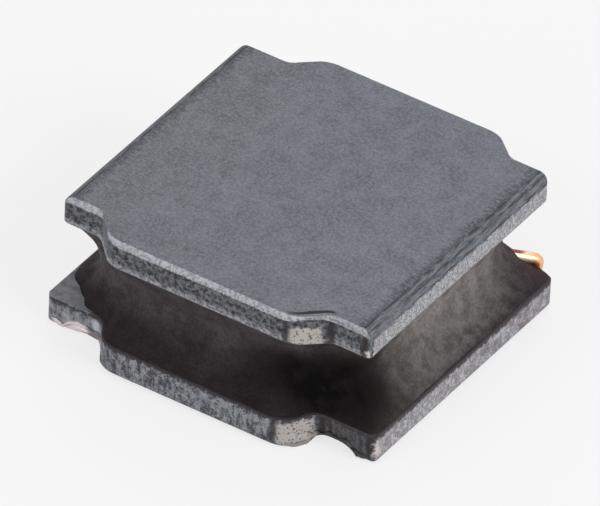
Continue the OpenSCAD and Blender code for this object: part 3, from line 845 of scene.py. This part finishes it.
def enamelled_copper():
    """Copper under a thin clear enamel, baked redder in patches. The loop at the rear right corner has a
    painted highlight on its near side, dark red painted shade on its upper side where it leaves the resin,
    and brown painted shade on its inner side where it turns down."""
    f = Finish("enamelled_copper", 0.28, metallic=0.6, coat=0.4)
    f.shader["Specular Tint"].default_value = (0.55, 0.14, 0.07, 1)
    patch, streak = f.noise(0.16, 3), f.noise(0.03)
    sideways = f.node("SeparateXYZ", {0: f.normal}).outputs[0]
    upward = f.vector("DOT_PRODUCT", f.normal, (-0.24, 0.57, 0.8))["Value"]
    # a painted highlight on the near side of the loop
    painted_highlight = f.near((1.93, 1.95, 0.58), (0.24, 0.24, 0.15), 0.6, 1.0)
    # painted shade, dark red, on the loop's upper side where it leaves the resin
    root = f.times(f.ramp(f.x, 2.04, 1.97), f.ramp(f.y, 1.4, 1.6),
                   f.ramp(f.plus(upward, -2.0, f.x), -3.65, -3.35))
    # painted shade, brown, where the loop turns down, apart from its edge facing right
    bend_shade = f.times(f.ramp(f.plus(f.z, 0.1, f.centred(streak)), 0.56, 0.48), f.ramp(sideways, 0.97, 0.72))
    colour = f.over(f.mixed(f.ramp(patch, 0.52, 0.7), (0.95, 0.52, 0.28), (0.5, 0.16, 0.08)),
                    (painted_highlight, (0.98, 0.7, 0.45)), (root, (0.2, 0.02, 0.03)), (bend_shade, (0.5, 0.16, 0.04)),
                    (f.ramp(streak, 0.5, 0.8, 0.4), (1.0, 0.72, 0.5)))
    return f.done(colour, f.ramp(patch, 0.3, 0.7, 0.44, 0.28), streak, 0.004, 0.5)


way, wire_length = centre_line()
make_piece("copper_wire", [tube(swept(way, WIRE_R))], [enamelled_copper()], ["winding"], sharp=60)
print(f"{TURNS:.1f} turns, {wire_length:.0f} mm of wire")

# %% [markdown]
# ## Terminals
# Each terminal is a coating a fiftieth of a millimetre thick, dipped over the underside of the base. It
# lines the groove and creeps a little up both tab faces, where it ends in an uneven line, and it thins
# out towards its two long edges. It is built like the flange, in slices across X, but each slice is now
# a strip with two skins: the inner skin lies on the ferrite, the outer one is moved out by the
# thickness, and inside the groove the outer arch is also narrower by that much.

# %% Tin coating
TERMINAL_IN, TERMINAL_OUT = 1.35, 2.35
CLIMB = {-1: 0.11, 1: 0.1}  # how far it climbs the tabs on the left and right
RAGGED = 0.018, 0.25  # how much its upper edge wanders, and over what length
LIP, SHORT = 0.03, 0.006  # the least that it climbs above a groove, and above a foot
FEATHER, THINNEST = 0.1, 0.1  # the width over which it thins out, and the share left there
FOOT_GROWS, TOP_GROWS = 0.03, 0.02  # how much larger the outer skin's foot and climb are
CRYSTAL = 0.045  # how wide a crystal of tin is


def skin(x, low, edge, top, grow, across=18, arc=5, rise=5):
    """One skin of the coating in the YZ plane at each x: up the front tab face, along the underside and
    up the rear tab face, moved out by grow."""
    depth, low, edge, top = (down_column(v, x) for v in (half_depth(x, BASE)[0] + grow, low, edge, top))
    t = np.linspace(0, 1, across)[None, :-1]
    a = np.linspace(0, np.pi / 2, arc)[None, :]
    s = np.linspace(0, 1, rise)[None, 1:]
    wall = low + edge
    y = np.hstack([t * (depth - edge), depth - edge * (1 - np.sin(a)), depth + 0 * s])
    z = np.hstack([low + 0 * t, low + edge * (1 - np.cos(a)), wall + s * (top - wall)])
    y, z = np.hstack([-y[:, :0:-1], y]), np.hstack([z[:, :0:-1], z])
    return np.stack([np.broadcast_to(x[:, None], z.shape), y, z], axis=-1)


def terminal(side):
    """Both skins of one coating as a tube whose rows are its slices, with a strip of faces at each end."""
    gx, gz = groove_profile()
    lined_x, lined_z = groove_profile(COAT)
    flat_in = np.linspace(TERMINAL_IN, gx[0] - CRISP, 10)
    flat_out = np.linspace(gx[-1] + CRISP, TERMINAL_OUT, 14)
    inner_x = np.hstack([flat_in, gx, flat_out])
    outer_x = np.hstack([flat_in[:-1], lined_x[0] - CRISP, lined_x, lined_x[-1] + CRISP, flat_out[1:]])
    grooved = np.repeat([False, True, False], [len(flat_in), len(gx), len(flat_out)])
    ragged = RAGGED[0] * waves(inner_x, size=RAGGED[1], seed=8 + side)
    share = half_depth(inner_x, BASE)[1] ** 2
    to_edge = np.minimum(inner_x - TERMINAL_IN, TERMINAL_OUT - inner_x)
    thick = COAT * np.clip(to_edge / FEATHER, THINNEST, 1)
    low_in = np.where(grooved, np.interp(inner_x, gx, gz), COAT)
    low_out = np.where(grooved, np.interp(outer_x, lined_x, lined_z), COAT - thick)
    foot = np.where(grooved, CRISP, FOOT * share)
    top = np.maximum((CLIMB[side] + ragged) * share, low_in + np.where(grooved, LIP + ragged, foot + SHORT))
    inner = skin(inner_x, low_in, foot, top, 0.0)
    outer = skin(outer_x, low_out, foot + np.where(grooved, 0, FOOT_GROWS * share),
                 top + np.where(grooved, 0, TOP_GROWS), thick)
    loop = np.hstack([inner, outer[:, ::-1]]) * (side, 1, 1)
    rows, columns = loop.shape[:2]
    faces = grid_faces(rows, columns).tolist()
    i = np.arange(columns // 2 - 1)
    strip = np.stack([i, i + 1, columns - 2 - i, columns - 1 - i], axis=1)
    return loop.reshape(-1, 3), faces + strip[:, ::-1].tolist() + (strip + (rows - 1) * columns).tolist()


def dull_tin(name, pale, dark, lumps):
    """Matt tin: crystals a few hundredths of a millimetre wide over slow lumps. It is dark under the front
    right tab, cream on the slope beside it, and pale on the outer half of the front left tab."""
    f = Finish(name, 0.42, metallic=0.9)
    crystal = f.node("TexVoronoi", {"Vector": f.place, "Scale": 1 / CRYSTAL}).outputs["Distance"]
    cloud = f.noise(0.25, 3)
    dark_front_right = f.near((1.95, -2.03, 0.08), (0.75, 0.16, 0.4), 0.8, 1.0)
    front_slope = f.times(f.ramp(f.x, 1.66, 1.6), f.ramp(f.x, 0.0, 0.1), f.ramp(f.y, -2.04, -2.08))
    front_left = f.times(f.ramp(f.x, 0.0, -0.1), f.ramp(f.y, -1.85, -1.95))
    colour = f.over(f.mixed(f.ramp(cloud, 0.38, 0.66), pale, dark), (f.ramp(crystal, 0.3, 0.9, 0.35), dark),
                    (dark_front_right, (0.055, 0.052, 0.054)), (front_slope, (0.3, 0.275, 0.26)),
                    (f.times(front_left, f.ramp(f.x, -1.74, -1.86)), (0.66, 0.6, 0.61)),
                    (f.times(front_left, f.ramp(f.x, -1.86, -1.76)), (0.22, 0.2, 0.2)))
    height = f.plus(f.times(cloud, lumps), 0.3, crystal)
    return f.done(colour, f.ramp(cloud, 0.3, 0.7, 0.58, 0.42), height, 0.01, 0.6)


tin = dull_tin("dull_tin", (0.58, 0.57, 0.56), (0.4, 0.39, 0.39), 1.0)
for side, name in ((-1, "left"), (1, "right")):
    node_name = f"terminal_{name}"
    make_piece(f"tin_{name}", [terminal(side)], [tin], [node_name], sharp=45)

# %% [markdown]
# ## Solder
# Each groove is filled with solder round the end of the wire. It wets the tin lining, so its section is
# the lined arch itself, and each end is drawn in like a drop: the section shrinks towards its middle by
# a quarter circle. The front end is blunter, and there the solder is drawn up into the groove, where
# its flat side slopes. Elsewhere that side stays a hair above the seating plane, and slow waves of a
# few microns keep it from looking machined.

# %% Solder fills
SOLDER_REAR, HUG = TAB_Y - 0.1, 0.001  # where it ends, and how close it lies to its lining
SOLDER_FRONT = {-1: -2.03, 1: -1.3}
REAR_DOME, FRONT_DOME, MIDDLE_Z = 0.12, 0.06, 0.075  # length of each drop end, height of its tip
# at the front: how high its flat side is drawn up, over what length, its tilt, and how the tip rises
DRAWN, DRAWN_OVER, TILT, MIDDLE_RISES = 0.065, 0.45, 0.04, 0.045
HAIR, SWELL = 0.003, 0.006  # its height above the seating plane, and that of its waves


def solder(side, rows=70, across=14, flat=22):
    """Sections along Y: the lined arch closed by its flat side, shrunk by sqrt(1 - u^2) near both ends."""
    front = SOLDER_FRONT[side]
    ax, az = groove_profile(COAT + HUG, across)
    x, z = np.hstack([ax, np.linspace(ax[-1], ax[0], flat)]), np.hstack([az, np.zeros(flat)])
    y = (front + (SOLDER_REAR - front) * (1 - np.cos(np.linspace(0, np.pi, rows))) / 2)[:, None]
    u = np.clip(1 - np.minimum((y - front) / FRONT_DOME, (SOLDER_REAR - y) / REAR_DOME), 0, 0.998)
    shrink = np.sqrt(1 - u ** 2)
    drawn = np.clip(1 - (y - front) / DRAWN_OVER, 0, 1) ** 1.5
    level = (DRAWN + TILT * (GROOVE_X - x) / GROOVE_HALF) * drawn
    level = np.clip(level, 0, np.interp(x, ax, az) - SWELL)
    middle = MIDDLE_Z + MIDDLE_RISES * drawn
    px, pz = GROOVE_X + (x - GROOVE_X) * shrink, middle + (np.where(z == 0, level, z) - middle) * shrink
    py = np.broadcast_to(y, px.shape)
    swell = np.abs(SWELL * waves(px * side, py, pz, size=0.18, seed=20 + side))
    pz = pz + np.where(z == 0, HAIR + swell * 0.6, swell * -0.3)
    return np.stack([side * px, py, pz], axis=-1)


solder_metal = dull_tin("solder_metal", (0.86, 0.8, 0.8), (0.55, 0.5, 0.51), 2.0)
for side, name in ((-1, "left"), (1, "right")):
    node_name = f"solder_{name}"
    make_piece(f"solder_fill_{name}", [tube(solder(side))], [solder_metal], [node_name])
